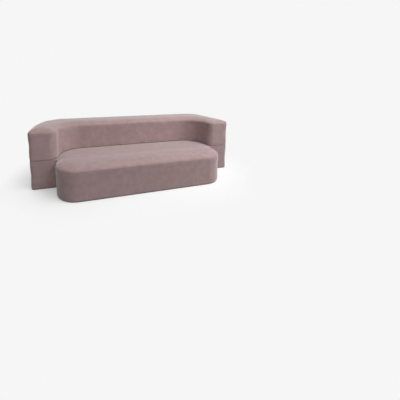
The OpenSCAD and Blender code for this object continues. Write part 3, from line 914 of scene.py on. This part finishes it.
def dotted_cloth():
    """Nonwoven floor cloth: matt pressed fibres with rows of small raised dots that grip the floor."""
    material, tree, place = new_material("floor_cloth_dotted_nonwoven")
    dots = node(tree, "ShaderNodeTexVoronoi", {"Vector": place, "Scale": 1 / DOT_PITCH, "Randomness": 0.0},
                voronoi_dimensions="2D")
    radius = DOT_W / DOT_PITCH / 2
    inner = node(tree, "ShaderNodeMapRange", {"Value": dots.outputs["Distance"], "From Min": radius * 0.8,
                                              "From Max": radius * 1.1, "To Min": 1.0, "To Max": 0.0})
    fibres = node(tree, "ShaderNodeTexNoise", {"Vector": place, "Scale": 1 / FIBRE_W, "Detail": 5.0,
                                               "Roughness": 0.7})
    ground = node(tree, "ShaderNodeValToRGB", {"Fac": fibres.outputs["Fac"]},
                  [(0.35, "#3d3839"), (0.65, "#484243")])
    colour = node(tree, "ShaderNodeMix", {"Factor": inner.outputs["Result"], 6: ground.outputs["Color"],
                                          7: linear("#2b2829")}, data_type="RGBA")
    rough = node(tree, "ShaderNodeMapRange", {"Value": inner.outputs["Result"], "To Min": 0.95,
                                              "To Max": 0.6})
    fuzz = node(tree, "ShaderNodeBump", {"Height": fibres.outputs["Fac"], "Strength": 0.4,
                                         "Distance": 0.3 * MM})
    raised = node(tree, "ShaderNodeBump", {"Height": inner.outputs["Result"], "Strength": 0.8,
                                           "Distance": 0.6 * MM, "Normal": fuzz.outputs["Normal"]})
    return shaded(material, {"Base Color": colour.outputs[2], "Roughness": rough.outputs["Result"],
                             "Normal": raised.outputs["Normal"]})


def foam(name, low, high, cell):
    """Cut polyurethane foam: pale open cells of uneven size, matt all over, with painted shade that darkens
    the pores.
    """
    material, tree, place = new_material(name)
    cells = node(tree, "ShaderNodeTexVoronoi", {"Vector": place, "Scale": 1 / cell}, feature="SMOOTH_F1")
    # The ramp runs from painted shade in the pores to the pale cell walls
    colour = node(tree, "ShaderNodeValToRGB", {"Fac": cells.outputs["Distance"]}, [(0.1, low), (0.6, high)])
    rough = node(tree, "ShaderNodeMapRange", {"Value": cells.outputs["Distance"], "To Min": 1.0,
                                              "To Max": 0.9})
    pores = node(tree, "ShaderNodeBump", {"Height": cells.outputs["Distance"], "Strength": 0.5,
                                          "Distance": 0.4 * MM})
    return shaded(material, {"Base Color": colour.outputs["Color"], "Roughness": rough.outputs["Result"],
                             "Normal": pores.outputs["Normal"]})


VELOUR = velour()
TAPE = woven_tape()
# Wound nylon has a smooth satin gloss with faint streaks from drawing
COIL = grained("zip_coil_nylon_monofilament", "#54454a", "#62525a", NYLON_GRAIN, NYLON_HIGH, (0.35, 0.5))
# Sprayed paint on cast zinc: even and satin, with a fine orange-peel
METAL = grained("zip_slider_painted_zinc", "#776769", "#837274", PAINT_GRAIN, PAINT_HIGH, (0.3, 0.45))
THREAD = spun_thread()
PANEL = dotted_cloth()
# Each foam's first colour is painted shade in its pores, the second its pale cell walls
CORE = foam("foam_firm_cut_polyurethane", "#c9c0ab", "#e2dccb", FIRM_CELL)
COMFORT = foam("foam_soft_cut_polyurethane", "#ddd4bf", "#f4efe1", SOFT_CELL)


def dress(piece, material):
    """Gives the piece this one material."""
    piece.data.materials.clear()
    piece.data.materials.append(material)


def finish_cover(cover, give):
    """Stuffs a cover, makes it uneven and smooths it."""
    inflate(cover, give)
    ripple(cover, give)
    return smooth_up(cover)


def fit_covers():
    base_cover = finish_cover(*make_base_cover())
    back_cover = finish_cover(*make_back_cover())
    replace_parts(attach(base_cover, "base"), "base_top_cover", "base_front_cover",
                                  "base_rear_cover_upper", "base_rear_cover_lower")
    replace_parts(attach(back_cover, "back"), "back_top_cover", "back_inner_cover",
                                  "back_rear_cover_upper", "back_rear_cover_lower", "back_underside_cover")
    dress(base_cover, VELOUR)
    dress(back_cover, VELOUR)


def fit_zips():
    """Both zips, with the lip over each: it hangs on the base and stands on the back block."""
    teeth, rows = row_tree("zip_teeth", True), row_tree("stitch_rows", False)
    for body, zip_z, hangs in (("base", BASE_ZIP_Z, True), ("back", BACK_ZIP_Z, False)):
        lip = make_lip(body + "_lip", zip_z, hangs)
        tape = make_tape(body + "_tape", zip_z)
        coil = make_coil(body + "_coil", zip_z, teeth)
        stitches = make_stitches(body, zip_z, hangs, rows)
        if body == "back":
            for piece in (lip, tape, coil, stitches):
                lean(piece)
        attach(stitches, body)
        for piece, part, slot, material in ((lip, "zip_lip", "cover_fabric", VELOUR),
                                            (tape, "zip_tape", "zip_tape", TAPE),
                                            (coil, "zip_coil", "zip_coil", COIL)):
            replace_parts(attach(piece, body), body + "_" + part)
            dress(piece, material)


def fit_hinges():
    for name, side in (("left_hinge", -1), ("right_hinge", 1)):
        hinge = make_hinge(name + "_cloth", side)
        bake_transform(hinge)
        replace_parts(hinge, name + "_base_leaf", name + "_back_leaf")
        dress(hinge, VELOUR)


def fit_castings():
    for body in ("base", "back"):
        for part in ("slider", "pull"):
            cast = eased(body + "_" + part + "_casting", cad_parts[body + "_zip_" + part])
            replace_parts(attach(cast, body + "_" + part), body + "_zip_" + part)
            dress(cast, METAL)


def dress_insides():
    """The foam and the floor panel keep their CAD shapes."""
    for part, material in (("foam_core", CORE), ("comfort_foam", COMFORT), ("floor_panel", PANEL)):
        for body in ("base_", "back_"):
            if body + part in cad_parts:
                dress(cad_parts[body + part], material)


BACKDROP = "#f6f6f6"
FLOOR_BOUNCE = "#868686"
# The floor glows away from the object, which fades its wide shadow and keeps the one at its foot
GLOW_REACH = 0.35
GLOW_POWER = 1.3
GLOW_SAMPLES = 8
FLOOR_HALF = 40.0
FLOOR_DROP = 0.5 * MM
# The key lamp's direction from the middle of the floor, and its distance
KEY_FROM = (0.42, -0.30, 0.82)
KEY_FAR = 3.5
KEY_SIZE = 2.3
KEY_LEVEL = 0.59
# A low lamp beside the right arm, which lifts that end
FILL_PLACE = (2.4, -1.7, 0.6)
FILL_AIM = (0.9, -0.2, 0.26)
FILL_SIZE = 1.0
FILL_LEVEL = 0.16
# The sky's level, how much it rises towards +X, +Y and +Z, and the rise of the weaker sky behind the object
SKY_LEVEL = 0.44
SKY_RISE = (0.26, -0.50, 0.10)
REAR_RISE = (0.0, 0.55, 0.1)
# The camera, turned to the right of +Y, pitched down and rolled, in degrees, with its lens in millimetres
CAMERA_PLACE = (-0.4565, -1.7081 + FRONT_Y, 0.8623)
CAMERA_TURN, CAMERA_PITCH, CAMERA_ROLL = 13.143, 5.852, -0.581
CAMERA_SENSOR, CAMERA_LENS = 36, 16.574
CAMERA_SHIFT = (0.165, -0.225)
CAMERA_CLIP = (0.05, 200)


def seen_rays(tree):
    """The light path's outputs, and one that is 1 for what the camera sees directly or in a gloss."""
    rays = node(tree, "ShaderNodeLightPath").outputs
    seen = node(tree, "ShaderNodeMath", {0: rays["Is Camera Ray"], 1: rays["Is Glossy Ray"]},
                operation="MAXIMUM")
    return rays, seen.outputs[0]


def floor_paint():
    """Matt white paint with no gloss, darker to the light that it throws back on the object."""
    material, tree, _ = new_material("floor_matt_paint")
    rays, seen = seen_rays(tree)
    both = node(tree, "ShaderNodeMix", {"Factor": seen, 6: linear(FLOOR_BOUNCE), 7: linear(BACKDROP)},
                data_type="RGBA")
    shader = node(tree, "ShaderNodeBsdfPrincipled", {"Base Color": both.outputs[2], "Roughness": 1.0,
                                                     "Specular IOR Level": 0.0})
    glow = node(tree, "ShaderNodeEmission", {"Color": linear(BACKDROP)})
    near = node(tree, "ShaderNodeAmbientOcclusion", {"Distance": GLOW_REACH}, samples=GLOW_SAMPLES)
    away = node(tree, "ShaderNodeMath", {0: near.outputs["AO"], 1: GLOW_POWER}, operation="POWER")
    faded = node(tree, "ShaderNodeMath", {0: rays["Is Camera Ray"], 1: away.outputs[0]}, operation="MULTIPLY")
    mix = node(tree, "ShaderNodeMixShader", {0: faded.outputs[0], 1: shader.outputs[0], 2: glow.outputs[0]})
    node(tree, "ShaderNodeOutputMaterial", {"Surface": mix.outputs[0]})
    return material


def make_floor():
    floor = new_piece("floor", [(x * FLOOR_HALF, y * FLOOR_HALF, -FLOOR_DROP)
                                for x, y in ((-1, -1), (1, -1), (1, 1), (-1, 1))], [[0, 1, 2, 3]])
    dress(floor, floor_paint())


def make_lamp(name, place, aim, size, level):
    """A round soft lamp. A white card at its aim, turned to it, would show the level."""
    data = bpy.data.lights.new(name, "AREA")
    data.shape = "DISK"
    data.size = size
    data.energy = level * (math.pi * (place - aim).length) ** 2
    lamp = bpy.data.objects.new(name, data)
    lamp.location = place
    lamp.rotation_mode = "QUATERNION"
    lamp.rotation_quaternion = (place - aim).to_track_quat("Z", "Y")
    lamp.visible_camera = False
    bpy.context.scene.collection.objects.link(lamp)


def make_sky():
    """A plain bright backdrop for the camera, and a sky that lights the object most from the front right."""
    world = bpy.data.worlds.new("studio")
    bpy.context.scene.world = world
    world.use_nodes = True
    tree = world.node_tree
    tree.nodes.clear()
    rays, seen = seen_rays(tree)
    shown = node(tree, "ShaderNodeMath", {0: seen, 1: rays["Is Transmission Ray"]}, operation="MAXIMUM")
    way = node(tree, "ShaderNodeTexCoord").outputs["Generated"]
    rise = node(tree, "ShaderNodeVectorMath", {0: way, 1: SKY_RISE}, operation="DOT_PRODUCT")
    front = node(tree, "ShaderNodeMath", {0: rise.outputs["Value"], 1: SKY_LEVEL}, operation="ADD")
    rear = node(tree, "ShaderNodeVectorMath", {0: way, 1: REAR_RISE}, operation="DOT_PRODUCT")
    level = node(tree, "ShaderNodeMath", {0: front.outputs[0], 1: rear.outputs["Value"]}, operation="MAXIMUM")
    sky = node(tree, "ShaderNodeBackground", {"Color": (1, 1, 1, 1), "Strength": level.outputs[0]})
    backdrop = node(tree, "ShaderNodeBackground", {"Color": linear(BACKDROP), "Strength": 1.0})
    mix = node(tree, "ShaderNodeMixShader", {0: shown.outputs[0], 1: sky.outputs[0], 2: backdrop.outputs[0]})
    node(tree, "ShaderNodeOutputWorld", {"Surface": mix.outputs[0]})


def make_camera():
    data = bpy.data.cameras.new("camera")
    data.sensor_width, data.lens = CAMERA_SENSOR, CAMERA_LENS
    data.shift_x, data.shift_y = CAMERA_SHIFT
    data.clip_start, data.clip_end = CAMERA_CLIP
    camera = bpy.data.objects.new("camera", data)
    camera.location = CAMERA_PLACE
    turn, pitch, roll = (math.radians(a) for a in (CAMERA_TURN, CAMERA_PITCH, CAMERA_ROLL))
    look = Vector((math.sin(turn) * math.cos(pitch), math.cos(turn) * math.cos(pitch), -math.sin(pitch)))
    right = Vector((math.cos(turn), -math.sin(turn), 0))
    up = right.cross(look)
    right, up = right * math.cos(roll) + up * math.sin(roll), up * math.cos(roll) - right * math.sin(roll)
    camera.rotation_mode = "QUATERNION"
    camera.rotation_quaternion = Matrix((right, up, -look)).transposed().to_quaternion()
    bpy.context.scene.collection.objects.link(camera)
    bpy.context.scene.camera = camera


fit_covers()
fit_zips()
fit_hinges()
fit_castings()
dress_insides()
make_floor()
make_sky()
make_lamp("key", Vector(KEY_FROM).normalized() * KEY_FAR, Vector((0, 0, 0)), KEY_SIZE, KEY_LEVEL)
make_lamp("fill", Vector(FILL_PLACE), Vector(FILL_AIM), FILL_SIZE, FILL_LEVEL)
make_camera()
bpy.context.scene.view_settings.view_transform = "Standard"
